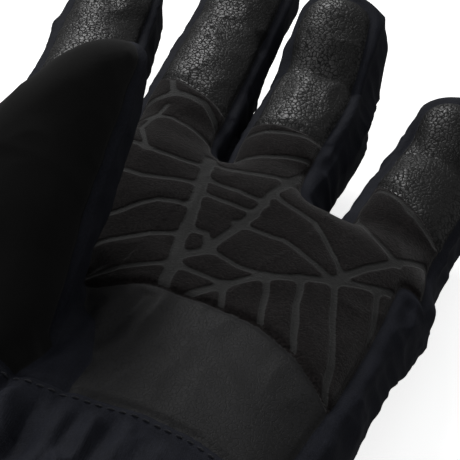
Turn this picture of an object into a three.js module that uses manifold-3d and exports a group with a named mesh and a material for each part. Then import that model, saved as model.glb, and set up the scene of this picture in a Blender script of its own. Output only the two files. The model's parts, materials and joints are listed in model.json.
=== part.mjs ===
// A left-hand ski glove lying on its back, palm up. Millimetres, +Z up, fingers along +Y, thumb on -X.
// Layout heights and lengths are measured from the resting face and from the fork of the middle and
// ring fingers; at the end the whole glove is moved so that the origin is under its bounding box.
import * as THREE from "three";
import { mergeVertices } from "three/addons/utils/BufferGeometryUtils.js";
import Module from "manifold-3d";

const wasm = await Module();
wasm.setup();

// Layers of the wall, from the outside in
const shellThick = 1.6;
const fit = 0.3;
const liningThick = 2.2;
const insulationThick = 1.6;
const lumenInset = shellThick + fit + liningThick;

// Hand
const wristY = -99;
const handMiddle = 17;
const flatTrim = 0.6;
const panelSeamZ = 17;

// Fingers: root centre, sideways spread, pitch of both stall halves, their lengths and radii
const fingers = {
  index: {
    root: [-43.8, -1, 19],
    spread: -7,
    pitch: [3, 9],
    length: [36, 36],
    radius: [14.4, 14.2, 13.4],
  },
  middle: {
    root: [-15, 3, 20.5],
    spread: 1.5,
    pitch: [8, 17],
    length: [40, 39],
    radius: [13.9, 13.6, 12.8],
  },
  ring: {
    root: [15.4, -2, 18.5],
    spread: 3,
    pitch: [7, 33],
    length: [37, 37],
    radius: [15.6, 15.8, 15],
  },
  little: {
    root: [45.6, -14, 17.5],
    spread: 12,
    pitch: [7, 28],
    length: [29, 30],
    radius: [13.8, 13.6, 12.8],
  },
};
const rootHinge = 6;
const rootFlex = 36;
const rootExtend = 10;
const middleFlex = 44;
const middleExtend = 12;

// Thumb
const thumb = {
  root: [-33, -84, 27],
  spread: 0,
  pitch: 39,
  hinges: [24, 51],
  tip: 75,
  radius: [17.6, 16.8, 15.2],
};
const thumbFlex = 8;
const thumbExtend = 22;

// Cuff
const hemY = -196;
const hemWide = 7;
const wristSwing = 20;
const elasticWide = 10;

// Closing tab across the palm side of the cuff
const tabY = -150;
const tabWide = 26;
const tabFrom = -30;
const tabTo = 24;

const colours = {
  navy: 0x14161f,
  black: 0x0c0c0c,
  suede: 0x1a1716,
  leather: 0x1d1d1e,
  heel: 0x262627,
  fleece: 0x2b2c30,
  foam: 0x8a8c8e,
  trim: 0x101114,
};

const rad = THREE.MathUtils.degToRad;
const glove = new THREE.Group();
glove.name = "ski_glove";

// ---- solids ----

function vec(x, y, z) {
  return new THREE.Vector3(x, y, z);
}

function solidOf(geometry, tolerance = 1e-4) {
  const bare = geometry.clone();
  bare.deleteAttribute("normal");
  bare.deleteAttribute("uv");
  const merged = mergeVertices(bare, tolerance);
  return new wasm.Manifold(
    new wasm.Mesh({
      numProp: 3,
      vertProperties: new Float32Array(merged.attributes.position.array),
      triVerts: new Uint32Array(merged.index.array),
    }),
  );
}

// A closed solid through rings of the same number of points, turned to the right about the way it runs.
function loft(rings) {
  const count = rings[0].length;
  const last = (rings.length - 1) * count;
  const index = [];
  for (let r = 0; r < last; r += count) {
    for (let k = 0; k < count; k++) {
      const a = r + k;
      const b = r + ((k + 1) % count);
      index.push(a, b, b + count, a, b + count, a + count);
    }
  }
  for (let k = 1; k < count - 1; k++) {
    index.push(0, k + 1, k, last, last + k, last + k + 1);
  }
  const geometry = new THREE.BufferGeometry();
  const points = rings.flat().flatMap((p) => [p.x, p.y, p.z]);
  geometry.setAttribute("position", new THREE.Float32BufferAttribute(points, 3));
  geometry.setIndex(index);
  return solidOf(geometry);
}

function box(low, high) {
  const size = high.map((h, i) => h - low[i]);
  const geometry = new THREE.BoxGeometry(...size);
  geometry.translate(...low.map((l, i) => l + size[i] / 2));
  return solidOf(geometry);
}

// A flat outline in x and y, raised from one height to another.
function prism(outline, from, to) {
  const shape = new THREE.Shape(outline.map(([x, y]) => new THREE.Vector2(x, y)));
  const geometry = new THREE.ExtrudeGeometry(shape, { depth: to - from, bevelEnabled: false });
  geometry.translate(0, 0, from);
  return solidOf(geometry);
}

function geometryOf(solid) {
  const mesh = solid.getMesh();
  const geometry = new THREE.BufferGeometry();
  geometry.setAttribute("position", new THREE.BufferAttribute(mesh.vertProperties, 3));
  geometry.setIndex(new THREE.BufferAttribute(mesh.triVerts, 1));
  return geometry;
}

// The main body of a solid, without the slivers that cutting leaves.
function largest(solid) {
  return solid.decompose().reduce((best, one) => (one.volume() > best.volume() ? one : best));
}

const pieces = [];

function add(name, solid, colour, roughness) {
  pieces.push({ name, solid: largest(solid), colour, roughness });
}

// One named mesh, moved into the part's own frame, with the slivers merged away.
function meshOf({ name, solid, colour, roughness }, shift) {
  let clean = solid.translate(shift);
  for (const tolerance of [2e-3, 1e-3, 1e-3]) clean = largest(solidOf(geometryOf(clean), tolerance));
  const material = new THREE.MeshStandardMaterial({ color: colour, roughness, metalness: 0 });
  const made = new THREE.Mesh(geometryOf(clean), material);
  made.name = name;
  return made;
}

// Straight-line interpolation through [at, value] stations.
function along(stations, at) {
  const next = stations.findIndex(([s]) => s >= at);
  if (next === 0) return stations[0][1];
  if (next < 0) return stations[stations.length - 1][1];
  const [s0, v0] = stations[next - 1];
  const [s1, v1] = stations[next];
  return v0 + ((v1 - v0) * (at - s0)) / (s1 - s0);
}

// A corner rounder than a rectangle and squarer than an ellipse.
function squarish(t, power) {
  return Math.sign(t) * Math.abs(t) ** (2 / power);
}

// ---- finger stalls ----

// The frame of a straight stall: d along it, w out of its palm side, u across it.
function stallFrame(at, spread, pitch) {
  const s = rad(spread);
  const p = rad(pitch);
  const d = vec(Math.sin(s) * Math.cos(p), Math.cos(s) * Math.cos(p), Math.sin(p));
  const w = vec(-Math.sin(s) * Math.sin(p), -Math.cos(s) * Math.sin(p), Math.cos(p));
  return { at, d, w, u: w.clone().cross(d), axis: d.clone().cross(w) };
}

function onFrame(f, along_, across, out) {
  return f.at
    .clone()
    .addScaledVector(f.d, along_)
    .addScaledVector(f.u, across)
    .addScaledVector(f.w, out);
}

function stallRing(f, at, radius, count = 12) {
  const ring = [];
  for (let k = 0; k < count; k++) {
    const angle = (2 * Math.PI * (k + 0.5)) / count;
    const across = radius * squarish(Math.cos(angle), 2.25);
    const out = radius * 0.97 * squarish(Math.sin(angle), 2.25);
    ring.push(onFrame(f, at, across, out));
  }
  return ring;
}

// A tube between two places on the frame.
function stallTube(f, from, to, r0, r1) {
  return loft([stallRing(f, from, r0), stallRing(f, to, r1)]);
}

// A tube that ends in a rounded tip.
function stallTip(f, from, end, r0, r1) {
  const rings = [stallRing(f, from, r0)];
  const domeStart = end - r1 * 1.05;
  for (let step = 0; step <= 3; step++) {
    const angle = (step / 3) * rad(76);
    const at = domeStart + (end - domeStart) * Math.sin(angle) / Math.sin(rad(76));
    rings.push(stallRing(f, at, r1 * Math.cos(angle)));
  }
  return loft(rings);
}

// A solid with this side view (along the stall, out of its palm side) and this width across it.
function sideCut(f, outline, halfWide) {
  const shape = new THREE.Shape(outline.map(([a, o]) => new THREE.Vector2(a, o)));
  const geometry = new THREE.ExtrudeGeometry(shape, { depth: 2 * halfWide, bevelEnabled: false });
  geometry.translate(0, 0, -halfWide);
  const place = new THREE.Matrix4().makeBasis(f.d, f.w, f.axis).setPosition(f.at);
  geometry.applyMatrix4(place);
  return solidOf(geometry);
}

// What lies beyond a hinge, or before it, with room to bend by the given angles.
function beyondHinge(f, at, flex, extend, side, halfWide = 28) {
  const far = 60;
  const palmLean = far * Math.tan(rad(flex / 2 + 1));
  const backLean = far * Math.tan(rad(extend / 2 + 1));
  const start = at - side * 0.5;
  return sideCut(
    f,
    [
      [start, 0],
      [start - side * palmLean, far],
      [at + side * far, far],
      [at + side * far, -far],
      [start - side * backLean, -far],
    ],
    halfWide,
  );
}

// Shell, lining and palm panel of one piece of stall, as solids.
function stallLayers(make, cuts) {
  const trim = (solid) => cuts.reduce((left, cut) => left.subtract(cut), solid);
  const shell = trim(make(0).subtract(make(shellThick)));
  const lining = trim(make(shellThick + fit).subtract(make(lumenInset)));
  return { shell, lining };
}

function panelBlock(f, from, to, halfWide, low, grow) {
  return sideCut(
    f,
    [
      [from - grow, low - grow],
      [to + grow, low - grow],
      [to + grow, 40],
      [from - grow, 40],
    ],
    halfWide + grow,
  );
}

const hinges = {};

function layOutFinger(name, spec) {
  const root = stallFrame(vec(...spec.root), spec.spread, spec.pitch[0]);
  const knuckle = onFrame(root, rootHinge + spec.length[0], 0, 0);
  const far = stallFrame(knuckle, spec.spread, spec.pitch[1]);
  hinges[name + "_base"] = { at: onFrame(root, rootHinge, 0, 0), axis: root.axis };
  hinges[name + "_tip"] = { at: knuckle, axis: far.axis };
  return { root, far };
}

function addFinger(name, spec) {
  const { root, far } = layOutFinger(name, spec);
  const [r0, r1, r2] = spec.radius;
  const knuckleAt = rootHinge + spec.length[0];
  const baseCuts = [
    beyondHinge(root, rootHinge, rootFlex, rootExtend, -1),
    beyondHinge(root, knuckleAt, middleFlex, middleExtend, 1),
  ];
  const base = stallLayers(
    (inset) => stallTube(root, -4, knuckleAt + 10, r0 - inset, r1 - inset),
    baseCuts,
  );
  const basePanel = (grow) => panelBlock(root, -20, knuckleAt + 20, r0 * 0.74, 2, grow);
  add(name + "_base_palm_leather", base.shell.intersect(basePanel(0)), colours.leather, 0.6);
  add(name + "_base_back_shell", base.shell.subtract(basePanel(fit)), colours.navy, 0.85);
  add(name + "_base_lining", base.lining, colours.fleece, 1);

  const tipCuts = [beyondHinge(far, 0, middleFlex, middleExtend, -1)];
  const end = spec.length[1];
  const tip = stallLayers((inset) => stallTip(far, -10, end - inset, r1 - inset, r2 - inset), tipCuts);
  const tipPanel = (grow) => panelBlock(far, -30, end - r2 * 0.28, r2 * 0.76, 2, grow);
  add(name + "_tip_palm_leather", tip.shell.intersect(tipPanel(0)), colours.leather, 0.6);
  add(name + "_tip_back_shell", tip.shell.subtract(tipPanel(fit)), colours.navy, 0.85);
  add(name + "_tip_lining", tip.lining, colours.fleece, 1);
}

// ---- thumb ----

const thumbFrame = stallFrame(vec(...thumb.root), thumb.spread, thumb.pitch);

function thumbRadius(at) {
  const table = [[0, thumb.radius[0]], [thumb.hinges[1], thumb.radius[1]], [thumb.tip, thumb.radius[2]]];
  return along(table, at);
}

function addThumb() {
  const f = thumbFrame;
  const [h0, h1] = thumb.hinges;
  hinges.thumb_base = { at: onFrame(f, h0, 0, 0), axis: f.axis };
  hinges.thumb_tip = { at: onFrame(f, h1, 0, 0), axis: f.axis };
  const baseCuts = [
    beyondHinge(f, h0, thumbExtend, thumbFlex, -1),
    beyondHinge(f, h1, thumbExtend, thumbFlex, 1),
  ];
  const base = stallLayers(
    (inset) => stallTube(f, h0 - 14, h1 + 14, thumbRadius(h0) - inset, thumbRadius(h1) - inset),
    baseCuts,
  );
  addThumbPieces("thumb_base", base, f, -20, h1 + 20, false);
  const tip = stallLayers(
    (inset) => stallTip(f, h1 - 14, thumb.tip - inset, thumbRadius(h1) - inset, thumb.radius[2] - inset),
    [beyondHinge(f, h1, thumbExtend, thumbFlex, -1)],
  );
  addThumbPieces("thumb_tip", tip, f, h1 - 30, thumb.tip - 4, true);
}

// The wipe panel lies over the back of the thumb, the grip on its palm side, navy strips between.
// The thumb's frame has its palm side up, so its back is the side that faces the wrist and the sky.
function addThumbPieces(name, layers, f, from, to, closed) {
  const half = thumb.radius[1] * 0.72;
  const wipe = (grow) => panelBlock(f, from, to, half, 2, grow);
  const grip = (grow) => {
    const outline = [
      [from - grow, -2 + grow],
      [from - grow, -40],
      [to + grow, -40],
      [to + grow, -2 + grow],
    ];
    return sideCut(f, outline, half * 0.94 + grow);
  };
  add(name + "_wipe_panel", layers.shell.intersect(wipe(0)), colours.black, 0.9);
  add(name + "_grip", layers.shell.intersect(grip(0)), colours.suede, 0.9);
  const sides = layers.shell.subtract(wipe(fit)).subtract(grip(fit));
  if (closed) {
    add(name + "_side", sides, colours.navy, 0.85);
  } else {
    const ends = sides.decompose().sort((a, b) => a.boundingBox().min[0] - b.boundingBox().min[0]);
    add(name + "_outer_side", ends[0], colours.navy, 0.85);
    add(name + "_inner_side", ends[1], colours.navy, 0.85);
  }
  add(name + "_lining", layers.lining, colours.fleece, 1);
}

// ---- hand ----

// Half widths of the hand to either side, palm height and fork line, as functions of place.
const thumbEdge = [[-110, 41], [-99, 42], [-70, 49], [-35, 56], [0, 57.5]];
const littleEdge = [[-110, 42], [-99, 43], [-78, 48], [-49, 55], [-20, 59], [0, 60]];
const forkLine = [[-90, -14], [-58, -7], [-29, -1], [0, 0], [29, -9], [59, -21], [90, -32]];

// The palm is hollow at its middle and lowest under the thumb.
function palmHeight(x, y) {
  const cup = 3 * Math.exp(-(((x - 2) / 26) ** 2));
  const side = THREE.MathUtils.smoothstep(-x, 2, 30);
  const pocket = 8.5 * side * Math.exp(-(((y + 62) / 26) ** 2));
  return 35 - cup - pocket;
}

function handRing(y, inset) {
  const ring = [];
  const count = 22;
  for (let k = 0; k < count; k++) {
    const angle = (2 * Math.PI * (k + 0.5)) / count;
    const side = squarish(Math.cos(angle), 2.9);
    const rise = squarish(Math.sin(angle), 2.9);
    const half = side > 0 ? along(thumbEdge, y) : along(littleEdge, y);
    const x = -side * (half - inset);
    const top = palmHeight(x, y) - handMiddle - inset;
    const z = handMiddle + (rise > 0 ? rise * top : rise * (handMiddle - inset));
    ring.push(vec(x, y, z));
  }
  return ring;
}

// The hand without its stubs, ending just short of the forks between the fingers.
function handLoft(inset) {
  const whole = loft([-112 - inset, -99, -78, -62, -46, -28, 12 + inset].map((y) => handRing(y, inset)));
  const edge = forkLine.map(([x, y]) => [x, y - 4 - inset]);
  return whole.subtract(prism([...edge, [90, 30], [-90, 30]], -20, 60));
}

function fingerStubs(inset) {
  return Object.values(fingers).map((spec) => {
    const root = stallFrame(vec(...spec.root), spec.spread, spec.pitch[0]);
    const radius = spec.radius[0] - inset;
    return stallTube(root, -18 + inset, rootHinge + 8 + inset, radius, radius);
  });
}

function thumbStub(inset) {
  const h0 = thumb.hinges[0];
  const from = thumb.radius[0] + 0.6 - inset;
  return stallTube(thumbFrame, -14 + inset, h0 + 12 + inset, from, thumbRadius(h0) - inset);
}

// Room around the thumb so that it swings without meeting the palm.
function thumbRoom(inset) {
  const h0 = thumb.hinges[0];
  const roomRadius = thumbRadius(h0) + 2.2 + inset;
  const room = stallTube(thumbFrame, h0 - 8, h0 + 60, roomRadius, roomRadius);
  return room.intersect(beyondHinge(thumbFrame, h0 - inset, -thumbExtend, -thumbFlex - 14, 1));
}

function handBody(inset) {
  const whole = [thumbStub(inset), ...fingerStubs(inset)];
  const palm = handLoft(inset).subtract(thumbRoom(inset));
  return whole.reduce((sum, piece) => sum.add(piece), palm);
}

// What lies on the far side of the wrist hinge.
function wristCut(side) {
  const lean = 50 * Math.tan(rad(wristSwing / 2 + 1));
  const at = wristY + side * 0.5;
  const outline = [
    [at, 0],
    [at + side * lean, 50],
    [at - side * 200, 50],
    [at - side * 200, -50],
    [at + side * lean, -50],
  ];
  const frame = { at: vec(0, 0, handMiddle), d: vec(0, 1, 0), w: vec(0, 0, 1), axis: vec(1, 0, 0) };
  return sideCut(frame, outline, 90);
}

const littleSeam = [[52, -3], [50, -24], [46, -49], [42, -64], [39, -78], [34, -96], [33, -112]];
const heelSeam = [[38.5, -78], [29, -71], [20, -67], [8, -64], [-9, -64.5], [-19, -67]];

// Grip panel over the palm and up the front of every finger stub.
function gripOutline(grow) {
  const right = littleSeam.filter(([, y]) => y > -77).map(([x, y]) => [x + grow, y]);
  const lower = heelSeam.map(([x, y]) => [x, y - grow]);
  const outer = [[-49 - grow, -66 - grow], [-51 - grow, -20], [-51 - grow, -9]];
  const front = [[-29, -4 + grow], [0, -3 + grow], [29, -12 + grow]];
  return [...right, ...lower, ...outer, ...front];
}

function heelOutline(grow) {
  const upper = heelSeam.map(([x, y]) => [x, y - fit + grow]);
  return [
    ...upper.reverse(),
    [littleSeam[4][0] + grow, -78],
    [littleSeam[5][0] + grow, -96],
    [littleSeam[6][0] + grow, -125],
    [-14 - grow, -125],
    [-17 - grow, -84],
  ];
}

function stubPanels(grow) {
  return Object.values(fingers).map((spec) => {
    const root = stallFrame(vec(...spec.root), spec.spread, spec.pitch[0]);
    return panelBlock(root, -22, 30, spec.radius[0] * 0.74, 2, grow);
  });
}

// The ends of a layer are cut back at every hinge.
function cutAtHinges(layer) {
  const cuts = Object.values(fingers).map((spec) => {
    const root = stallFrame(vec(...spec.root), spec.spread, spec.pitch[0]);
    return beyondHinge(root, rootHinge, rootFlex, rootExtend, 1, spec.radius[0] + 0.25);
  });
  const h0 = thumb.hinges[0];
  const around = stallTube(thumbFrame, -6, h0 + 30, thumb.radius[0] + 1, thumb.radius[0] + 1);
  cuts.push(beyondHinge(thumbFrame, h0, thumbExtend, thumbFlex, 1).intersect(around));
  cuts.push(wristCut(1));
  return cuts.reduce((left, cut) => left.subtract(cut), layer);
}

function handLayer(outer, inner) {
  return cutAtHinges(handBody(outer).subtract(handBody(inner)));
}

function addHand() {
  const reach = 60;
  const ground = box([-90, -220, -9], [90, 90, flatTrim]);
  const shell = handLayer(0, shellThick).subtract(ground);
  const grip = stubPanels(0).reduce((sum, b) => sum.add(b), prism(gripOutline(0), panelSeamZ, reach));
  const gripPrism = prism(gripOutline(fit), panelSeamZ - fit, reach);
  const gripRoom = stubPanels(fit).reduce((sum, b) => sum.add(b), gripPrism);
  const nearThumb = thumbWall(fit);
  const heel = prism(heelOutline(0), panelSeamZ, reach).subtract(nearThumb);
  const heelRoom = prism(heelOutline(fit), panelSeamZ - fit, reach).subtract(thumbWall(0));
  const wipe = panelBlock(thumbFrame, -30, 60, thumb.radius[1] * 0.72, 2, 0).intersect(thumbWall(0));
  const wipeBlock = panelBlock(thumbFrame, -30, 60, thumb.radius[1] * 0.72, 2, fit);
  const wipeRoom = wipeBlock.intersect(thumbWall(0));
  const gripPart = grip.subtract(nearThumb);
  const gripGap = gripRoom.subtract(thumbWall(0));
  add("palm_grip_panel", shell.intersect(gripPart), colours.suede, 0.95);
  add("palm_heel_patch", shell.intersect(heel), colours.heel, 0.55);
  add("thumb_root_wipe_panel", shell.intersect(wipe), colours.black, 0.9);
  const back = shell.subtract(gripGap).subtract(heelRoom).subtract(wipeRoom);
  add("hand_back_shell", back, colours.navy, 0.85);
  const padding = shellThick + fit;
  const inner = padding + insulationThick;
  add("hand_insulation", handLayer(padding, inner), colours.foam, 1);
  add("hand_lining", handLayer(inner + fit, inner + fit + liningThick), colours.fleece, 1);
}

// The space taken by the thumb stub and what lies above it.
function thumbWall(grow) {
  const h0 = thumb.hinges[0];
  const r = thumb.radius[0] + 0.8 + grow;
  return stallTube(thumbFrame, -2, h0 + 14, r, r);
}

// ---- cuff ----

const cuffHalf = [[-200, 60], [-165, 57], [-130, 48], [-112, 43], [-90, 42]];
const cuffTop = [[-200, 50], [-165, 47], [-130, 39], [-112, 34], [-90, 33]];

function cuffHeight(x, y) {
  const half = along(cuffHalf, y);
  const middle = along(cuffTop, y) / 2;
  const part = Math.min(Math.abs(x / half), 0.99);
  return middle + middle * (1 - part ** 2.6) ** (1 / 2.6);
}

function cuffRing(y, inset) {
  const ring = [];
  const count = 22;
  const half = along(cuffHalf, y) - inset;
  const middle = along(cuffTop, y) / 2;
  for (let k = 0; k < count; k++) {
    const angle = (2 * Math.PI * (k + 0.5)) / count;
    const x = -half * squarish(Math.cos(angle), 2.6);
    const z = middle + (middle - inset) * squarish(Math.sin(angle), 2.6);
    ring.push(vec(x, y, z));
  }
  return ring;
}

function cuffLoft(from, to, inset) {
  const middle = [-165, -130, -112].filter((y) => y > from && y < to);
  return loft([from, ...middle, to].map((y) => cuffRing(y, inset)));
}

function addCuff() {
  const cut = wristCut(-1);
  const ground = box([-90, -220, -9], [90, 90, flatTrim]);
  const start = hemY + hemWide;
  const tube = (inset, thick, extra) =>
    cuffLoft(start, -88, inset).subtract(cuffLoft(start - 5, -80, inset + thick + extra));
  add("cuff_shell", tube(0, shellThick, 0).subtract(cut).subtract(ground), colours.navy, 0.85);
  const bandIn = shellThick + fit;
  const bandBox = (grow) =>
    box([-80, wristY - 6 - elasticWide - grow, -5], [80, wristY - 6 + grow, handMiddle + grow]);
  const band = tube(bandIn, 0.9, 0).intersect(bandBox(0));
  add("wrist_elastic", band, colours.trim, 0.8);
  const bandRoom = tube(shellThick, 0.9 + 2 * fit, 0).intersect(bandBox(fit));
  add("cuff_lining", tube(bandIn, liningThick, 0).subtract(cut).subtract(bandRoom), colours.fleece, 1);
  const hem = cuffLoft(hemY, start - fit, 0).subtract(cuffLoft(hemY - 5, start + 5, lumenInset));
  add("hem_binding", hem.subtract(ground), colours.trim, 0.8);
  hinges.cuff = { at: vec(0, wristY, handMiddle), axis: vec(1, 0, 0) };
}

// A strip that follows the top of the cuff across it, between two heights over the cloth.
function crossStrip(from, to, low, high, wide) {
  const rings = [];
  const steps = 6;
  for (let step = 0; step <= steps; step++) {
    const x = from + ((to - from) * step) / steps;
    const corner = (side, over) => {
      const y = tabY + (side * wide) / 2;
      return vec(x, y, cuffHeight(x, y) + over(x));
    };
    rings.push([corner(-1, low), corner(1, low), corner(1, high), corner(-1, high)]);
  }
  return loft(rings);
}

function addClosure() {
  const slope = 0.9;
  const patch = crossStrip(-16, 32, () => slope, () => slope + 1, tabWide - 2);
  add("cuff_loop_patch", patch, colours.trim, 1);
  const hookLow = slope + 1 + fit;
  const hook = crossStrip(2, tabTo - 2, () => hookLow, () => hookLow + 0.9, tabWide - 4);
  add("tab_hook_patch", hook, colours.trim, 0.7);
  const tabLow = (x) => slope + (hookLow + 1.2 - slope) * THREE.MathUtils.smoothstep(x, tabFrom, -18);
  const tab = crossStrip(tabFrom, tabTo, tabLow, (x) => tabLow(x) + 1.8, tabWide);
  add("cuff_tab", tab, colours.navy, 0.8);
  const pullLow = () => hookLow + 0.4;
  const grip = crossStrip(tabTo + fit, tabTo + 12, pullLow, () => hookLow + 3.6, tabWide + 2);
  add("tab_pull", grip, colours.trim, 0.6);
  const hingeHeight = cuffHeight(tabFrom, tabY) + 1.2;
  hinges.cuff_tab = { at: vec(tabFrom - 0.5, tabY, hingeHeight), axis: vec(0, -1, 0) };
}

// A sewn loop of tape that hangs the glove up, out of the palm side of the cuff mouth.
function addHangLoop() {
  const half = 7;
  const rings = [];
  const z = cuffHeight(0, hemY) - lumenInset - 1.6;
  const path = [[-half, hemY + 12], [-half, hemY - 8]];
  for (let step = 1; step < 8; step++) {
    const angle = Math.PI * (1 + step / 8);
    path.push([half * Math.cos(angle), hemY - 8 + half * 1.2 * Math.sin(angle)]);
  }
  path.push([half, hemY - 8], [half, hemY + 12]);
  path.forEach(([x, y], i) => {
    const [xa, ya] = path[Math.max(i - 1, 0)];
    const [xb, yb] = path[Math.min(i + 1, path.length - 1)];
    const way = vec(xb - xa, yb - ya, 0).normalize();
    const across = vec(-way.y, way.x, 0).multiplyScalar(0.7);
    const up = vec(0, 0, 2.4);
    const at = vec(x, y, z - 2.4);
    rings.push([
      at.clone().add(across).sub(up),
      at.clone().add(across).add(up),
      at.clone().sub(across).add(up),
      at.clone().sub(across).sub(up),
    ]);
  });
  add("hang_loop", loft(rings), colours.trim, 0.8);
}

Object.entries(fingers).forEach(([name, spec]) => addFinger(name, spec));
addThumb();
addHand();
addCuff();
addClosure();
addHangLoop();

// The origin goes under the middle of the bounding box.
const bounds = new THREE.Box3();
for (const { solid } of pieces) {
  const { min, max } = solid.boundingBox();
  bounds.expandByPoint(vec(...min)).expandByPoint(vec(...max));
}
const middle = bounds.getCenter(vec(0, 0, 0));
const shift = [-middle.x, -middle.y, -bounds.min.z];
pieces.forEach((piece) => glove.add(meshOf(piece, shift)));
glove.userData.shift = shift;
glove.userData.hinges = Object.fromEntries(
  Object.entries(hinges).map(([name, { at, axis }]) => [
    name,
    { at: at.clone().add(vec(...shift)).toArray(), axis: axis.toArray() },
  ]),
);

export default glove;
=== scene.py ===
import json
import math

import bpy
import numpy as np
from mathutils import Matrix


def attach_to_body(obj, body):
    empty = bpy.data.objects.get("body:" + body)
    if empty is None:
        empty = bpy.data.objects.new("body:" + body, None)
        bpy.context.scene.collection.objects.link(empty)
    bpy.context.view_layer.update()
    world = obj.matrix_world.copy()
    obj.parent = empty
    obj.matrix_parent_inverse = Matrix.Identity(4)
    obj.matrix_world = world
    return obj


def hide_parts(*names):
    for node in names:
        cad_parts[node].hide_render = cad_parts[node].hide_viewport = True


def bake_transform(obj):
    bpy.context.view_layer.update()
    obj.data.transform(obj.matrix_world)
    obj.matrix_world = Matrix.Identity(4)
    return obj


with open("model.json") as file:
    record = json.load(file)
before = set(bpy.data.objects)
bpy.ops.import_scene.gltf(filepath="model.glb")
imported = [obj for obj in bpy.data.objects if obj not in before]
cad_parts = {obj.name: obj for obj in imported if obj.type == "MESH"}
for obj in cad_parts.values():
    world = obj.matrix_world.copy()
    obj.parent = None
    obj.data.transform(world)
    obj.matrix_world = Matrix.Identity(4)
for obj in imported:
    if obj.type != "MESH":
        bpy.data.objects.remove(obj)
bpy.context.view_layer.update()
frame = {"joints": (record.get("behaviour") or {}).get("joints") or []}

import openvdb
from mathutils import Matrix, Vector, noise
from mathutils.bvhtree import BVHTree

# Shapes are laid out in millimetres from the fork of the middle and ring fingers, as the CAD is,
# and moved into the row frame when a mesh is made.
WRIST_HINGE = np.array([0.0, -99.0, 17.0])
joints = {j["name"]: j for j in frame["joints"]}
SHIFT = np.array(joints["wrist_bend"]["pos_m"]) * 1000 - WRIST_HINGE


def to_row(points):
    return (np.asarray(points, float) + SHIFT) / 1000


# ---------------------------------------------------------------- camera

def place_camera():
    azimuth, elevation, roll = np.radians([6.0, 37.0, 13.8])
    distance = 274.5
    target = np.array([6.2, -31.7, 30.0])
    ahead = -np.array([
        math.sin(azimuth) * math.cos(elevation),
        -math.cos(azimuth) * math.cos(elevation),
        math.sin(elevation),
    ])
    right = np.cross(ahead, [0, 0, 1])
    right /= np.linalg.norm(right)
    up = np.cross(right, ahead)
    right, up = (right * math.cos(roll) + up * math.sin(roll),
                 up * math.cos(roll) - right * math.sin(roll))
    data = bpy.data.cameras.new("camera")
    data.sensor_width = 36
    data.lens = 93.44348
    data.clip_start = 0.01
    camera = bpy.data.objects.new("camera", data)
    bpy.context.collection.objects.link(camera)
    turn = Matrix(np.stack([right, up, -ahead], 1).tolist()).to_4x4()
    camera.matrix_world = Matrix.Translation(Vector(to_row(target - ahead * distance))) @ turn
    bpy.context.scene.camera = camera


place_camera()


# ---------------------------------------------------------------- small maths

def smoothstep(x, low, high):
    t = np.clip((x - low) / (high - low), 0, 1)
    return t * t * (3 - 2 * t)


def soft_min(a, b, k):
    h = np.clip(0.5 + 0.5 * (b - a) / k, 0, 1)
    return b + (a - b) * h - k * h * (1 - h)


def soft_max(a, b, k):
    return -soft_min(-a, -b, k)


def bump(x, width):
    return np.exp(-(x / width) ** 2)


def stations(y, table):
    at, value = np.array(table).T
    return np.interp(y, at, value)


def noise_at(points, scale, seed=0.0):
    """Smooth noise in -1..1 at points scaled per axis."""
    p = np.asarray(points) * np.asarray(scale) + seed
    return np.array([noise.noise(Vector(q)) for q in p.tolist()])


def segment_distance(x, y, start, end):
    (ax, ay), (bx, by) = start, end
    ex, ey = bx - ax, by - ay
    t = np.clip(((x - ax) * ex + (y - ay) * ey) / (ex * ex + ey * ey), 0, 1)
    return np.hypot(x - ax - t * ex, y - ay - t * ey)


# ---------------------------------------------------------------- shape

# Exponents of the rounded-box sections: 2 is an ellipse, more is squarer.
STALL_SQUARE = 2.25
HAND_SQUARE = 2.75


class Stall:
    """A finger or thumb: two straight runs that meet at a knuckle."""

    def __init__(self, root, spread, pitch, reach, radius, start, hinge, sway=0.0, taper=None):
        s = math.radians(spread)
        p, q = np.radians(pitch)
        self.root = np.array(root, float)
        self.axis = np.array([math.cos(s), -math.sin(s), 0])
        self.d = [np.array([math.sin(s) * math.cos(a), math.cos(s) * math.cos(a), math.sin(a)])
                  for a in (p, q)]
        self.w = [np.array([-math.sin(s) * math.sin(a), -math.cos(s) * math.sin(a), math.cos(a)])
                  for a in (p, q)]
        self.first, self.total = reach
        self.radius = radius
        self.start = start
        self.hinge = hinge
        self.sway = sway
        self.taper = taper
        self.knuckle = self.root + self.d[0] * self.first

    def local(self, p):
        """Length along the stall, offset across it, offset out of its palm side, overshoot."""
        a, b = p - self.root, p - self.knuckle
        far = b @ (self.d[0] + self.d[1]) > 0
        raw = np.where(far, self.first + b @ self.d[1], a @ self.d[0])
        w = np.where(far, b @ self.w[1], a @ self.w[0])
        end = self.total - self.radius[2]
        inside = np.where(far, np.clip(raw, self.first, end), np.clip(raw, self.start, self.first))
        across = a @ self.axis - self.sway * bump(raw - self.first + 4, 22)
        return inside, across, w, raw - inside

    def girth(self, s):
        end = self.total - self.radius[2]
        return np.interp(s, [self.hinge, self.first, end], self.radius)

    def distance(self, p):
        s, v, w, over = self.local(p)
        side = (np.abs(v) ** STALL_SQUARE + np.abs(w * 1.03) ** STALL_SQUARE) ** (1 / STALL_SQUARE)
        plain = np.sqrt(over ** 2 + side ** 2) - self.girth(s)
        if self.taper is None:
            return plain
        # The end slopes away from the side next to the fingers.
        lean = np.clip(self.girth(s) - v, 0, 40)
        drop = 0.036 * lean ** 2 + 0.02 * w ** 2
        cap = (s + over - self.taper + drop) / np.sqrt(1 + (0.072 * lean) ** 2 + (0.04 * w) ** 2)
        return soft_max(plain, cap, 6)

    def point(self, s, v=0.0, w=0.0):
        if s <= self.first:
            return self.root + self.d[0] * s + self.axis * v + self.w[0] * w
        return self.knuckle + self.d[1] * (s - self.first) + self.axis * v + self.w[1] * w


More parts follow.
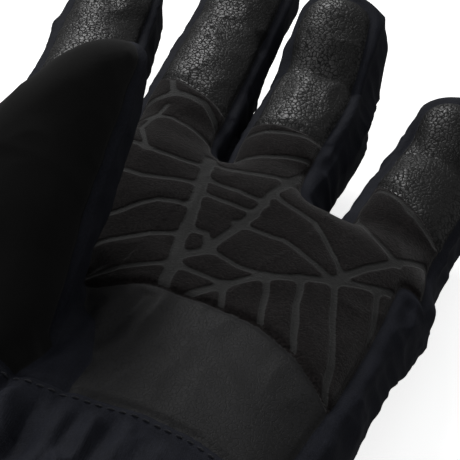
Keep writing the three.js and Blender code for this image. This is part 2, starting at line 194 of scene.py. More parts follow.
STALLS = {
    "index": Stall([-44.6, -1, 19], -7, [3, 9], [42, 78], [14.4, 14.2, 13.4], -16, 6),
    "middle": Stall([-16.4, 3, 20.5], 1.5, [8, 17], [46, 85], [13.8, 13.7, 12.9], -16, 6),
    "ring": Stall([11.0, -2, 18.5], 3, [7, 33], [43, 80], [14.6, 15.1, 14.0], -16, 6, sway=2.0),
    "little": Stall([42.6, -14, 17.5], 12, [7, 28], [35, 63.5], [14.4, 13.9, 13.0], -16, 6),
    "thumb": Stall([-34.5, -84, 26.5], 0, [37.5, 37.5], [51, 81], [17.8, 16.8, 15.2], -9, 0, taper=68),
}
FINGERS = ("index", "middle", "ring", "little")

# Half widths of the hand and cuff on each side by Y, the forks between fingers by X, the cuff's top by Y.
THUMB_EDGE = [[-200, 60], [-165, 57], [-130, 48], [-112, 43], [-99, 42], [-70, 49], [-35, 56], [0, 57.5]]
LITTLE_EDGE = [[-200, 60], [-165, 57], [-130, 48], [-112, 42.5], [-99, 41.5], [-78, 45.3], [-54, 49.5],
               [-40, 54.3], [-12, 61], [0, 61]]
FORKS = [[-90, -14], [-58, -7], [-31, -1], [-4, 0], [27, -9], [59, -21], [90, -32]]
CUFF_TOP = [[-200, 50], [-165, 47], [-130, 39], [-112, 34], [-90, 33]]


def palm_height(x, y):
    cup = 3 * np.exp(-((x - 2) / 26) ** 2)
    pocket = 8.5 * smoothstep(-x, 2, 30) * np.exp(-((y + 62) / 26) ** 2)
    return 35 - cup - pocket


def hand_section(x, y):
    """Middle, half width, heights over and under the middle, at each place."""
    left, right = stations(y, THUMB_EDGE), stations(y, LITTLE_EDGE)
    cuff = smoothstep(-y, 94, 112)
    top = palm_height(x, y) * (1 - cuff) + stations(y, CUFF_TOP) * cuff
    middle = 17 * (1 - cuff) + stations(y, CUFF_TOP) / 2 * cuff
    return (right - left) / 2, (right + left) / 2, top - middle, middle


def hand_distance(p):
    x, y, z = p[..., 0], p[..., 1], p[..., 2]
    centre, half, over, middle = hand_section(x, y)
    high = np.where(z > middle, over, middle)
    power = HAND_SQUARE
    a, b = np.abs(x - centre) / half + 1e-4, np.abs(z - middle) / high + 1e-4
    n = (a ** power + b ** power) ** (1 / power)
    slope = np.sqrt((a ** (power - 1) / half) ** 2 + (b ** (power - 1) / high) ** 2) * n ** (1 - power)
    side = (n - 1) / np.maximum(slope, 1 / 60)
    front = y - stations(x, FORKS) + 4
    return soft_max(side, front, 9)


def glove_distance(p):
    fingers = [STALLS[name].distance(p) for name in FINGERS]
    whole = soft_min(np.minimum.reduce(fingers), hand_distance(p), 4.5)
    whole = soft_min(whole, STALLS["thumb"].distance(p), 5)
    return soft_max(whole, 0.7 - p[..., 2], 3)


def gradient(field, p, step=0.2):
    parts = []
    for axis in range(3):
        away = np.zeros(3)
        away[axis] = step
        parts.append((field(p + away) - field(p - away)) / (2 * step))
    return np.stack(parts, -1)


def surface(pitch):
    """The whole outside of the glove as triangles, on the level set of its distance."""
    low, high = np.array([-66.0, -200.0, -3.0]), np.array([72.0, 90.0, 86.0])
    counts = np.ceil((high - low) / pitch).astype(int)
    axes = [low[i] + pitch * np.arange(counts[i]) for i in range(3)]
    values = np.empty(counts, np.float32)
    for i in range(0, counts[0], 16):
        block = np.stack(np.meshgrid(axes[0][i:i + 16], axes[1], axes[2], indexing="ij"), -1)
        values[i:i + 16] = glove_distance(block)
    grid = openvdb.FloatGrid(99.0)
    grid.copyFromArray(values)
    points, quads = grid.convertToQuads()
    points = low + np.asarray(points, float) * pitch
    quads = np.asarray(quads)[:, ::-1]
    for _ in range(3):
        g = gradient(glove_distance, points)
        length = np.maximum(np.linalg.norm(g, axis=1), 0.3)
        points -= g * (np.clip(glove_distance(points), -1, 1) / length ** 2)[:, None]
    tri = np.concatenate([quads[:, [0, 1, 2]], quads[:, [0, 2, 3]]])
    return points, outward(points, tri)


def outward(points, tri):
    a, b, c = (points[tri[:, i]] for i in range(3))
    if np.einsum("ij,ij->", a, np.cross(b, c)) < 0:
        return tri[:, ::-1]
    return tri


def point_normals(points, tri):
    a, b, c = (points[tri[:, i]] for i in range(3))
    face = np.cross(b - a, c - a)
    total = np.zeros_like(points)
    for i in range(3):
        for axis in range(3):
            total[:, axis] += np.bincount(tri[:, i], face[:, axis], len(points))
    return total / np.maximum(np.linalg.norm(total, axis=1), 1e-12)[:, None]


# ---------------------------------------------------------------- panels

LITTLE_SEAM = [(51.5, -6), (48.3, -24), (44.8, -49), (42, -64), (39, -78), (34, -96), (33, -112)]
HEEL_SEAM = [(39, -77), (29, -68), (20, -63), (8, -60.5), (-6, -60.5), (-20, -64)]
CUFF_SEAM = [[-70, -97], [-40, -97.5], [-10, -96.5], [5, -96], [16, -98], [26, -102], [40, -103], [70, -102]]
# The wrist bends between these two places.
# Two places across the wrist, passed as the slab of the cuff pieces.
WRIST_SLAB = ((0, -103, 17), (0, -113, 17))
# How far round each finger its front reaches, in degrees, on the thumb's side and on the little finger's.
FRONT_LIMITS = {"index": (50, 50), "middle": (52, 46), "ring": (54, 31), "little": (46, 52)}
# Where suede gives way to leather on each finger: length along the stall, slope across it.
TIP_SEAM = {"index": (14.0, 0.1), "middle": (14.0, -0.40), "ring": (15.6, -0.12), "little": (12.2, -0.55)}


def polygon_distance(x, y, corners):
    """Signed distance to a closed outline, negative inside it."""
    best = np.full(x.shape, 1e9)
    inside = np.zeros(x.shape, bool)
    for (ax, ay), (bx, by) in zip(corners, corners[1:] + corners[:1]):
        ex, ey = bx - ax, by - ay
        t = np.clip(((x - ax) * ex + (y - ay) * ey) / (ex * ex + ey * ey), 0, 1)
        best = np.minimum(best, (x - ax - t * ex) ** 2 + (y - ay - t * ey) ** 2)
        crosses = ((ay > y) != (by > y)) & (x < ex * (y - ay) / (ey if ey else 1e-9) + ax)
        inside ^= crosses
    return np.sqrt(best) * np.where(inside, -1, 1)


def grip_outline():
    fork = [(-29, -6), (-4, -5.5), (25, -14)]
    return LITTLE_SEAM[:5] + HEEL_SEAM[1:] + [(-50, -66), (-53, -24), (-52, -12)] + fork


def heel_outline():
    below = [(34, -125), (-13, -125), (-9.5, -98), (-8, -87), (-11, -76)]
    return HEEL_SEAM[::-1] + LITTLE_SEAM[5:] + below


class Fields:
    """Signed distances, in millimetres along the surface, to the edge of every panel."""

    def __init__(self, p, d_stalls, d_hand):
        x, y, z = p.T
        on_top = 12 - z
        self.front = {}
        self.along = {}
        self.across = {}
        for name in FINGERS:
            stall = STALLS[name]
            s, v, w, over = stall.local(p)
            angle = np.arctan2(v, w)
            to_thumb, to_little = np.radians(FRONT_LIMITS[name])
            side = np.maximum(angle - to_little, -angle - to_thumb) * stall.girth(s)
            end = s + np.maximum(over, 0) - (stall.total - 5.5)
            self.front[name] = soft_max(side, end, 7)
            self.along[name] = s + over
            self.across[name] = v
        nearest = np.argmin(np.stack([d_stalls[n] for n in FINGERS]), 0)
        self.nearest = nearest
        near_front = np.choose(nearest, [self.front[n] for n in FINGERS])
        near_along = np.choose(nearest, [self.along[n] for n in FINGERS])
        seams = [self.along[n] - TIP_SEAM[n][0] - TIP_SEAM[n][1] * self.across[n] for n in FINGERS]
        self.past_seam = np.choose(nearest, seams)
        palm = np.maximum(polygon_distance(x, y, grip_outline()), on_top)
        stub = np.maximum(near_front, -14 - near_along)
        whole_front = soft_min(palm, stub, 4)
        clear_of_thumb = 2.2 - d_stalls["thumb"]
        self.grip = np.maximum.reduce([whole_front, self.past_seam, clear_of_thumb])
        self.leather = np.maximum(near_front, -self.past_seam)
        self.heel = np.maximum.reduce([polygon_distance(x, y, heel_outline()), on_top, clear_of_thumb])
        self.cuff = y - stations(x, CUFF_SEAM)
        s, v, w, over = STALLS["thumb"].local(p)
        girth = STALLS["thumb"].girth(s)
        turn = np.arctan2(v, w)
        away = d_stalls["thumb"] - 5.0
        inner = 1.08 + 0.12 * smoothstep(s, 54, 66) + 0.22 * smoothstep(-s, -30, 0)
        wipe = np.maximum(turn - inner, -1.4 - turn) * girth
        short_of_tip = s + np.maximum(over, 0) - 79.5
        near_thumb = d_stalls["thumb"] - 9 + 7.5 * smoothstep(turn, 0.3, 0.9)
        self.wipe = np.maximum(soft_max(wipe, short_of_tip, 5), near_thumb)
        under = (np.abs(np.pi - np.abs(turn)) - 0.85) * girth
        self.under = np.maximum.reduce([under, s + np.maximum(over, 0) - 74, 6 - (s + over), away])
        self.thumb_along = s + over
        self.thumb = np.maximum(16 - (s + over), (d_stalls["thumb"] - d_hand) * 0.7)


# ---------------------------------------------------------------- relief

def seam_relief(field, rim=0.8, groove=0.9, puff=0.35):
    inside = puff * (1 - np.exp(np.minimum(field, 0) / 3.5))
    return -groove * bump(field, 0.95) + rim * bump(field - 2.1, 1.25) * (field > 0) + inside


def relief(p, normals, f):
    """How far the cloth stands out from its smooth shape, in millimetres."""
    x, y, z = p.T
    out = np.zeros(len(p))
    rim = smoothstep(f.heel, 1, 4) * smoothstep(f.grip, 1.0, 3.0)
    out += seam_relief(f.leather, rim=0.6 * rim, groove=0.75 - 0.5 * bump(f.grip, 2.5), puff=0.5)
    out += seam_relief(f.heel, rim=0.0, groove=0.45, puff=0.15)
    grip_rim = 0.35 * smoothstep(f.heel, 1, 4) * smoothstep(f.leather, 1, 3)
    out += seam_relief(f.grip, rim=grip_rim, groove=0.4, puff=0.15)
    out += seam_relief(f.wipe, rim=0.35, groove=0.7, puff=0.2)
    out += seam_relief(f.under, rim=0.3, groove=0.6, puff=0.2)
    out += -0.9 * bump(f.cuff, 0.8) + 0.7 * bump(f.cuff + 2.6, 1.6)
    navy = np.minimum.reduce([f.leather, f.heel, f.grip, f.wipe, f.under])
    is_navy = smoothstep(navy, 0.5, 4)
    # Soft wrinkles in the shell: lengthwise folds, finer on the fingers, with cross creases.
    long_folds = noise_at(p, (0.10, 0.022, 0.10), 3.1)
    fine_folds = noise_at(p, (0.17, 0.06, 0.17), 9.7)
    cross = noise_at(p, (0.05, 0.16, 0.05), 21.3)
    out += is_navy * (1.1 * (1 - 2 * np.abs(long_folds)) + 0.55 * fine_folds
                      + 0.5 * (1 - 2 * np.abs(cross)) - 0.6)
    lumps = noise_at(p, (0.045, 0.045, 0.045), 40.2)
    out += 0.9 * lumps * smoothstep(np.abs(navy), 0, 6) * (1 - 0.75 * smoothstep(-f.heel, 0, 5))
    # Soft dents and creases on the front of each finger, deepest at its knuckle.
    for i, name in enumerate(FINGERS):
        stall = STALLS[name]
        near = (f.nearest == i) * (1 - smoothstep(f.front[name], -1, 4))
        bend = {"index": 0.25, "middle": 0.35, "ring": 1.0, "little": 0.7}[name]
        wander = 3.0 * noise_at(p, (0.07, 0.07, 0.07), 5.5 * i)
        s = f.along[name] + wander + 0.25 * f.across[name]
        at = stall.first
        out += near * bend * (-1.0 * bump(s - at - 3, 4.5) + 0.8 * bump(s - at - 16, 9)
                              + 0.7 * bump(s - at + 14, 9) - 0.5 * bump(s - at + 3, 1.5))
        folds = np.abs(noise_at(p, (0.11, 0.09, 0.11), 13.0 + 7 * i))
        out += near * (0.4 - 1.1 * np.minimum(folds, 0.5)) * (0.5 + 0.9 * bump(s - at, 14))
        out += near * (-0.6 * bump(f.along[name] - 2.0, 3.5))
    # Folds at the heel of the palm, running down from the thumb.
    on_palm = smoothstep(z, 22, 28)
    for start, end, depth, width in (
        ((-4, -64), (-8, -80), 0.7, 2.0),
        ((-14, -70), (-17, -88), 0.8, 2.6),
    ):
        off = segment_distance(x, y, start, end)
        out += on_palm * depth * (0.5 * bump(off - 3.5, 2.2) - bump(off, width))
    # Gathers where the elastic draws the wrist in, strongest on the thumb side.
    below = f.cuff + 3
    gather = noise_at(p, (0.19, 0.028, 0.19), 60.0)
    gather2 = noise_at(p, (0.33, 0.05, 0.33), 77.0)
    draw = smoothstep(-below, 0, 5) * (1 - smoothstep(-below, 18, 44))
    draw *= 0.55 + 0.75 * smoothstep(-x, -20, 30)
    pleat = 0.42 - np.minimum(np.abs(gather) * 2.2, 1.0)
    wave = 0.42 * (x + 0.4 * z) + 2.2 * noise_at(p, (0.05, 0.03, 0.05), 33.0)
    out += draw * 1.7 * (np.abs(np.sin(wave)) - 0.65)
    out += draw * (2.0 * pleat + 1.1 * gather2 - 0.9 * bump(below + 13, 5))
    # A swell in the corner of the heel beside the thumb.
    out += 0.7 * on_palm * bump(np.hypot(x + 9, y + 71), 5.5)
    # Lengthwise wrinkles down the little-finger side of the hand.
    side = smoothstep(x, 36, 50) * smoothstep(y, -105, -85) * (1 - smoothstep(y, -30, -10))
    out += side * is_navy * 1.2 * (0.45 - np.abs(noise_at(p, (0.22, 0.035, 0.16), 90.0)))
    # The closing tab presses the cuff flat under it.
    tab = smoothstep(x, -40, -34) * (1 - smoothstep(x, 37, 42)) * smoothstep(y, -172, -166)
    out = out * (1 - 0.9 * tab * (1 - smoothstep(y, -136, -130)) * smoothstep(z, 25, 30))
    resting = smoothstep(z, 1.0, 4.0)
    return out * (0.15 + 0.85 * resting)


# Grip print: lines in the palm's plane, each with its width.
PRINT = [
    (2.3, [(-5, -9), (-4, -24), (-3, -38), (-2, -52), (-1, -63)]),
    (1.6, [(28, 18), (24, 9), (15, -9), (10, -26), (4, -43), (-1, -48)]),
    (1.6, [(2, -62), (11, -52.5), (18, -47), (32, -41), (44, -37), (52, -35)]),
    (1.6, [(32, -41), (39, -32), (52, -20)]),
    (1.3, [(10, -53), (12, -64)]),
    (1.3, [(18, -47), (20.5, -67)]),
    (1.3, [(25, -44), (29, -72)]),
    (1.3, [(33, -41), (38, -78)]),
    (1.2, [(42, -38), (44, -60)]),
    (1.0, [(4, -43), (11, -46), (18, -47)]),
    (1.0, [(7, -31), (19, -32.5), (32, -41)]),
    (1.0, [(13, -17), (24, -23), (34, -38)]),
    (1.0, [(33, -10), (37, -19), (46, -27)]),
    (1.1, [(37, 1), (44, -6), (53, -12)]),
    (1.0, [(-4, -24), (3, -25), (10, -26)]),
    (1.1, [(-2, -52), (4, -52), (9, -53)]),
    (1.3, [(-3, -38), (2, -38.5), (4, -43)]),
    (1.0, [(-3, -30), (-12, -32), (-24, -43)]),
    (1.0, [(-4, -13), (-12, -15), (-20, -15), (-36, -10)]),
    (1.0, [(-3, -41), (-14, -46), (-30, -56)]),
    (1.0, [(-2, -52), (-13, -57), (-24, -64)]),
    (1.0, [(-4, -21), (-18, -25), (-40, -24)]),
    (0.9, [(-20, -15), (-24, -6), (-21, 6)]),
    (1.1, [(-5, -10), (4, -11), (15, -9)]),
    (0.9, [(-4, -18), (5, -19.5), (12, -21)]),
    (0.9, [(1, -2), (9, -1), (20, 3)]),
    (1.5, [(-29, 5), (-21, 11), (-12, 10), (-4, 3)]),
    (1.3, [(-21, 11), (-24, 20)]),
    (1.0, [(-4, 8), (6, 8.5), (24, 11)]),
    (0.9, [(-32, -2), (-18, 1), (-6, -2)]),
    (1.0, [(-52, -8), (-42, 2), (-34, -4)]),
    (1.0, [(-36, -10), (-46, -16), (-54, -14)]),
    (1.0, [(-40, -24), (-50, -32)]),
    (1.0, [(15, -9), (24, -12), (33, -10)]),
    (0.9, [(45, -6), (47, 2)]),
]


def print_depth(x, y):
    """1 in the lines of the print, 0 on the suede between them, and the distance to a line."""
    flat = np.stack([x, y, np.zeros_like(x)], 1)
    x = x + 0.7 * noise_at(flat, (0.13, 0.13, 0), 4.0)
    y = y + 0.7 * noise_at(flat, (0.13, 0.13, 0), 8.0)
    best = np.full(len(x), 99.0)
    for width, line in PRINT:
        near = np.full(len(x), 99.0)
        for start, end in zip(line, line[1:]):
            near = np.minimum(near, segment_distance(x, y, start, end) - width * 0.58)
        best = soft_min(best, near, 1.7)
    return 1 - smoothstep(best, -0.3, 0.35), best


# ---------------------------------------------------------------- meshes

class Skin:
    """Triangles with any number of values on their points: place, normal, then fields."""

    def __init__(self, data, tri):
        used, tri = np.unique(tri, return_inverse=True)
        self.data = data[used]
        self.tri = tri.reshape(-1, 3)

    def split(self, field):
        """The part where the field is below zero, and the rest, cut along the zero line."""
        f = np.where(np.abs(field) < 0.02, -0.02, field)
        sign = f[self.tri] > 0
        count = sign.sum(1)
        inner, outer = [self.tri[count == 0]], [self.tri[count == 3]]
        data = self.data
        mixed = (count == 1) | (count == 2)
        t, s = self.tri[mixed], sign[mixed]
        lone = np.argmax(s == (s.sum(1) == 1)[:, None], 1)
        t = np.take_along_axis(t, (lone[:, None] + np.arange(3)) % 3, 1)
        ends = np.sort(np.concatenate([t[:, [0, 1]], t[:, [0, 2]]]), 1)
        keys, index = np.unique(ends, axis=0, return_inverse=True)
        index = index.reshape(-1) + len(data)
        fa, fb = f[keys[:, 0]], f[keys[:, 1]]
        share = np.clip(fa / (fa - fb), 0.02, 0.98)[:, None]
        data = np.concatenate([data, data[keys[:, 0]] * (1 - share) + data[keys[:, 1]] * share])
        ab, ac = index[:len(t)], index[len(t):]
        tip = np.stack([t[:, 0], ab, ac], 1)
        rest = np.concatenate([np.stack([ab, t[:, 1], t[:, 2]], 1), np.stack([ab, t[:, 2], ac], 1)])
        positive = f[t[:, 0]] > 0
        twice = np.concatenate([positive, positive])
        outer += [tip[positive], rest[~twice]]
        inner += [tip[~positive], rest[twice]]
        return Skin(data, np.concatenate(inner)), Skin(data, np.concatenate(outer))

    def ends(self):
        """Both ends of every triangle's three edges, lower number first."""
        tri = self.tri
        return np.sort(np.concatenate([tri[:, [0, 1]], tri[:, [1, 2]], tri[:, [2, 0]]]), 1)

    def refined(self):
        """Every triangle made into four."""
        keys, index = np.unique(self.ends(), axis=0, return_inverse=True)
        n = len(self.tri)
        index = index.reshape(-1) + len(self.data)
        ab, bc, ca = index[:n], index[n:2 * n], index[2 * n:]
        a, b, c = self.tri.T
        data = np.concatenate([self.data, (self.data[keys[:, 0]] + self.data[keys[:, 1]]) / 2])
        quarters = ((a, ab, ca), (b, bc, ab), (c, ca, bc), (ab, bc, ca))
        tri = np.concatenate([np.stack(quarter, 1) for quarter in quarters])
        return Skin(data, tri)

    def edge_mask(self):
        """True on the points of an open edge."""
        keys, count = np.unique(self.ends(), axis=0, return_counts=True)
        mask = np.zeros(len(self.data), bool)
        mask[keys[count == 1].reshape(-1)] = True
        return mask


def make_mesh(name, points, faces, material, normals=None, values=None):
    """An object in the row frame from points in layout millimetres."""
    mesh = bpy.data.meshes.new(name)
    mesh.from_pydata(to_row(points).tolist(), [], [list(map(int, face)) for face in faces])
    mesh.polygons.foreach_set("use_smooth", np.ones(len(mesh.polygons), bool))
    place = mesh.attributes.new("rest", "FLOAT_VECTOR", "POINT")
    place.data.foreach_set("vector", np.asarray(points, np.float32).reshape(-1))
    for key, value in (values or {}).items():
        layer = mesh.attributes.new(key, "FLOAT", "POINT")
        layer.data.foreach_set("value", np.asarray(value, np.float32))
    mesh.materials.append(material)
    mesh.update()
    if normals is not None:
        mesh.normals_split_custom_set_from_vertices(normals.tolist())
    made = bpy.data.objects.new(name, mesh)
    bpy.context.collection.objects.link(made)
    return made


def attach(piece, bodies, slab=None):
    """Rides a piece on one body; with a slab it only bakes the piece's transform and attaches it to no body.
    """
    if slab:
        to_row(slab[0]).tolist()
        to_row(slab[1]).tolist()
        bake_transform(piece)
    else:
        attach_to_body(piece, bodies)


# ---------------------------------------------------------------- materials

class Shader:
    """A Principled material built on the rest place of every point, in millimetres."""

    def __init__(self, name, **settings):
        self.material = bpy.data.materials.new(name)
        self.material.use_nodes = True
        self.nodes = self.material.node_tree.nodes
        self.links = self.material.node_tree.links
        self.shader = self.nodes["Principled BSDF"]
        for key, value in settings.items():
            self.shader.inputs[key.replace("_", " ").title()].default_value = value
        place = self.nodes.new("ShaderNodeAttribute")
        place.attribute_name = "rest"
        self.place = place.outputs["Vector"]

    def node(self, kind, inputs=None, **settings):
        made = self.nodes.new(kind)
        for key, value in settings.items():
            setattr(made, key, value)
        for key, value in (inputs or {}).items():
            if hasattr(value, "links"):
                self.links.new(value, made.inputs[key])
            else:
                made.inputs[key].default_value = value
        return made

    def noise(self, scale, detail=3.0, roughness=0.5):
        made = self.node("ShaderNodeTexNoise", {
            "Vector": self.place, "Scale": scale, "Detail": detail, "Roughness": roughness,
        })
        return made.outputs["Fac"]

    def cells(self, scale, feature="DISTANCE_TO_EDGE", vector=None, randomness=1.0):
        made = self.node("ShaderNodeTexVoronoi", {
            "Vector": vector or self.place, "Scale": scale, "Randomness": randomness,
        }, feature=feature)
        return made.outputs["Distance"]

    def math(self, operation, a, b):
        made = self.node("ShaderNodeMath", {0: a, 1: b}, operation=operation)
        return made.outputs[0]

    def ramp(self, value, low, high, to_low=0.0, to_high=1.0):
        made = self.node("ShaderNodeMapRange", {
            "Value": value, "From Min": low, "From Max": high, "To Min": to_low, "To Max": to_high,
        }, interpolation_type="SMOOTHSTEP")
        return made.outputs["Result"]

    def mix(self, share, a, b):
        made = self.node("ShaderNodeMix", {"Factor": share, "A": a, "B": b}, data_type="RGBA")
        made.inputs[6].default_value = a if isinstance(a, tuple) else (0, 0, 0, 1)
        made.inputs[7].default_value = b if isinstance(b, tuple) else (0, 0, 0, 1)
        for socket, value in ((6, a), (7, b)):
            if hasattr(value, "links"):
                self.links.new(value, made.inputs[socket])
        return made.outputs[2]

    def colour(self, output):
        self.links.new(output, self.shader.inputs["Base Color"])

    def rough(self, output):
        self.links.new(output, self.shader.inputs["Roughness"])

    def bumps(self, *layers):
        """Stacks (height, depth in metres) layers."""
        normal = None
        for height, depth in layers:
            made = self.node("ShaderNodeBump", {"Height": height, "Distance": depth})
            made.inputs["Strength"].default_value = 1.0
            if normal is not None:
                self.links.new(normal, made.inputs["Normal"])
            normal = made.outputs["Normal"]
        self.links.new(normal, self.shader.inputs["Normal"])


def grey(value, tint=(1.0, 1.0, 1.0)):
    return (value * tint[0], value * tint[1], value * tint[2], 1.0)


NAVY = (0.82, 0.90, 1.30)


def softshell():
    m = Shader("navy_softshell", roughness=0.75, sheen_weight=0.03, sheen_roughness=0.4)
    m.shader.inputs["Specular IOR Level"].default_value = 0.14
    m.shader.inputs["Sheen Tint"].default_value = (0.5, 0.56, 0.75, 1)
    blotch = m.noise(0.12, 4.0, 0.6)
    weave = m.cells(2.6, "F1", randomness=0.45)
    dots = m.noise(2.2, 2.0, 0.6)
    tone = m.mix(m.ramp(blotch, 0.3, 0.7), grey(0.0122, NAVY), grey(0.0162, NAVY))
    m.colour(m.mix(m.ramp(dots, 0.42, 0.62, 0, 0.5), tone, grey(0.0240, NAVY)))
    m.bumps((weave, 0.00007), (dots, 0.00005))
    return m.material


def wipe_fabric():
    m = Shader("black_wipe_fabric", roughness=0.93, sheen_weight=0.06, sheen_roughness=0.5)
    m.shader.inputs["Specular IOR Level"].default_value = 0.12
    soft = m.noise(0.08, 3.0, 0.6)
    nap = m.noise(3.5, 2.0, 0.6)
    tone = m.mix(m.ramp(soft, 0.3, 0.7), grey(0.0072), grey(0.0092))
    m.colour(m.mix(m.ramp(nap, 0.45, 0.65, 0, 0.35), tone, grey(0.0112)))
    m.bumps((nap, 0.00003))
    return m.material


def suede():
    m = Shader("grip_suede", roughness=0.9, sheen_weight=0.22, sheen_roughness=0.35)
    m.shader.inputs["Specular IOR Level"].default_value = 0.15
    nap = m.noise(1.7, 4.0, 0.75)
    blotch = m.noise(0.25, 3.0, 0.6)
    warm = (1.22, 1.0, 1.0)
    tone = m.mix(m.ramp(blotch, 0.3, 0.7), grey(0.0098, warm), grey(0.0135, warm))
    fuzzy = m.mix(m.ramp(nap, 0.41, 0.59), grey(0.0034, warm), tone)
    printed = m.node("ShaderNodeAttribute", attribute_name="print").outputs["Fac"]
    edge = m.math("ADD", printed, m.math("MULTIPLY", m.math("SUBTRACT", nap, 0.5), 0.5))
    share = m.ramp(edge, 0.4, 0.62)
    ink = m.mix(m.ramp(nap, 0.35, 0.7), grey(0.0150, (1, 1.02, 1.0)), grey(0.0205, (1, 1.02, 1.0)))
    m.colour(m.mix(share, fuzzy, ink))
    m.rough(m.ramp(share, 0, 1, 0.93, 0.55))
    m.bumps((nap, 0.00022), (m.noise(6.0, 1.0), 0.00004))
    return m.material


def grained(m, vector, scale, crack):
    """0 in the cracks between the pebbles of a hide, 1 on their tops."""
    edge = m.cells(scale, "DISTANCE_TO_EDGE", vector)
    return m.ramp(edge, 0.0, crack)


def warped(m, scale, amount):
    """The rest place, pushed about by noise so that a grain is not regular."""
    bend = m.node("ShaderNodeTexNoise", {"Vector": m.place, "Scale": scale, "Detail": 2.0})
    centred = m.node("ShaderNodeVectorMath", {0: bend.outputs["Color"], 1: (0.5, 0.5, 0.5)},
                     operation="SUBTRACT")
    wobble = m.node("ShaderNodeVectorMath", {0: centred.outputs[0]}, operation="SCALE")
    wobble.inputs["Scale"].default_value = amount
    moved = m.node("ShaderNodeVectorMath", {0: m.place, 1: wobble.outputs[0]}, operation="ADD")
    return moved.outputs[0]


def pebbled_leather():
    m = Shader("pebbled_leather", roughness=0.40)
    m.shader.inputs["Specular IOR Level"].default_value = 0.55
    vector = warped(m, 0.5, 1.6)
    pebble = grained(m, vector, 0.85, 0.16)
    small = grained(m, vector, 1.9, 0.10)
    dome = m.ramp(m.cells(0.85, "DISTANCE_TO_EDGE", vector), 0.0, 0.55)
    m.colour(m.mix(pebble, grey(0.0006), grey(0.0022)))
    m.rough(m.ramp(pebble, 0, 1, 0.95, 0.42))
    m.bumps((dome, 0.00005), (pebble, 0.00005), (small, 0.00001))
    return m.material


def heel_leather():
    m = Shader("heel_leather", roughness=0.5)
    m.shader.inputs["Specular IOR Level"].default_value = 0.22
    vector = warped(m, 0.6, 1.2)
    grain = grained(m, vector, 1.3, 0.12)
    fine = m.noise(3.0, 3.0, 0.6)
    blotch = m.noise(0.09, 3.0)
    tone = m.mix(m.ramp(blotch, 0.3, 0.7), grey(0.0150, (1, 1, 1.07)), grey(0.0195, (1, 1, 1.07)))
    m.colour(m.mix(grain, grey(0.0090), tone))
    m.rough(m.ramp(fine, 0.3, 0.7, 0.62, 0.55))
    m.bumps((grain, 0.000035), (fine, 0.000012))
    return m.material


def fleece():
    m = Shader("lining_fleece", roughness=1.0, sheen_weight=0.4, sheen_roughness=0.6)
    curl = m.noise(0.9, 5.0, 0.7)
    m.colour(m.mix(m.ramp(curl, 0.35, 0.65), grey(0.012), grey(0.035)))
    m.bumps((curl, 0.0006))
    return m.material


def tape():
    base = 0.007
    m = Shader("trim_tape", roughness=0.75, sheen_weight=0.1, sheen_roughness=0.4)
    m.shader.inputs["Specular IOR Level"].default_value = 0.3
    rib = m.node("ShaderNodeTexWave", {"Vector": m.place, "Scale": 0.9, "Distortion": 0.6}).outputs["Fac"]
    lint = m.noise(3.0, 3.0, 0.6)
    m.colour(m.mix(m.ramp(m.math("MULTIPLY", rib, lint), 0.1, 0.5), grey(base), grey(base * 1.7)))
    m.bumps((rib, 0.00015), (lint, 0.00006))
    return m.material


def hook_and_loop():
    m = Shader("hook_and_loop", roughness=0.95)
    tuft = m.cells(1.6, "F1")
    m.colour(m.mix(m.ramp(tuft, 0.1, 0.6), grey(0.012), grey(0.004)))
    m.bumps((tuft, 0.0004))
    return m.material


def moulded():
    m = Shader("moulded_rubber", roughness=0.5)
    fine = m.noise(2.5, 3.0, 0.6)
    m.colour(m.mix(m.ramp(fine, 0.35, 0.65), grey(0.009), grey(0.013)))
    m.rough(m.ramp(fine, 0.3, 0.7, 0.42, 0.6))
    m.bumps((fine, 0.00006))
    return m.material


def thread():
    m = Shader("navy_thread", roughness=0.6)
    twist = m.node("ShaderNodeTexWave", {"Vector": m.place, "Scale": 2.4, "Distortion": 0.5}).outputs["Fac"]
    m.colour(m.mix(twist, grey(0.012, NAVY), grey(0.026, NAVY)))
    m.bumps((twist, 0.0001))
    return m.material


LOOKS = {
    "navy": softshell(),
    "wipe": wipe_fabric(),
    "suede": suede(),
    "leather": pebbled_leather(),
    "heel": heel_leather(),
    "fleece": fleece(),
    "tape": tape(),
    "hook": hook_and_loop(),
    "rubber": moulded(),
    "thread": thread(),
}
# The palm side of the thumb is the same suede, without the print.
LOOKS["under"] = LOOKS["suede"]
# The field that bounds each panel.
PANEL_FIELDS = {"leather": "leather", "suede": "grip", "heel": "heel", "wipe": "wipe", "under": "under"}
THUMB_HINGE = 37.5


# ---------------------------------------------------------------- the glove's skin

def whole_skin():
    pitch = 0.72
    points, tri = surface(pitch)
    base = gradient(glove_distance, points)
    base /= np.maximum(np.linalg.norm(base, axis=1), 1e-9)[:, None]
    d_stalls = {name: stall.distance(points) for name, stall in STALLS.items()}
    fields = Fields(points, d_stalls, hand_distance(points))
    points = points + base * relief(points, base, fields)[:, None]
    normals = point_normals(points, tri)
    columns = [points, normals, base, fields.leather, fields.grip, fields.heel, fields.wipe, fields.under,
               fields.cuff, fields.thumb, fields.thumb_along,
               *[fields.along[name] for name in FINGERS], *[d_stalls[name] for name in FINGERS]]
    data = np.concatenate([c.reshape(len(points), -1) for c in columns], 1)
    return Skin(data, tri)


COLUMN = {name: 9 + i for i, name in enumerate(
    ["leather", "grip", "heel", "wipe", "under", "cuff", "thumb", "thumb_along",
     *FINGERS, *["d_" + name for name in FINGERS]])}


def column(skin, name):
    return skin.data[:, COLUMN[name]]


def printed(skin):
    """The suede, fine enough to carry the print's channels."""
    skin = skin.refined()
    depth, off = print_depth(skin.data[:, 0], skin.data[:, 1])
    inside = smoothstep(-column(skin, "grip"), 0.2, 1.2)
    height = inside * (0.22 * (1 - np.exp(-np.maximum(off, 0) / 1.4)) - 0.26 * depth)
    skin.data[:, 0:3] += skin.data[:, 6:9] * height[:, None]
    fresh = point_normals(skin.data[:, 0:3], skin.tri)
    keep = skin.edge_mask()[:, None]
    skin.data[:, 3:6] = np.where(keep, skin.data[:, 3:6], fresh)
    return skin, depth * inside


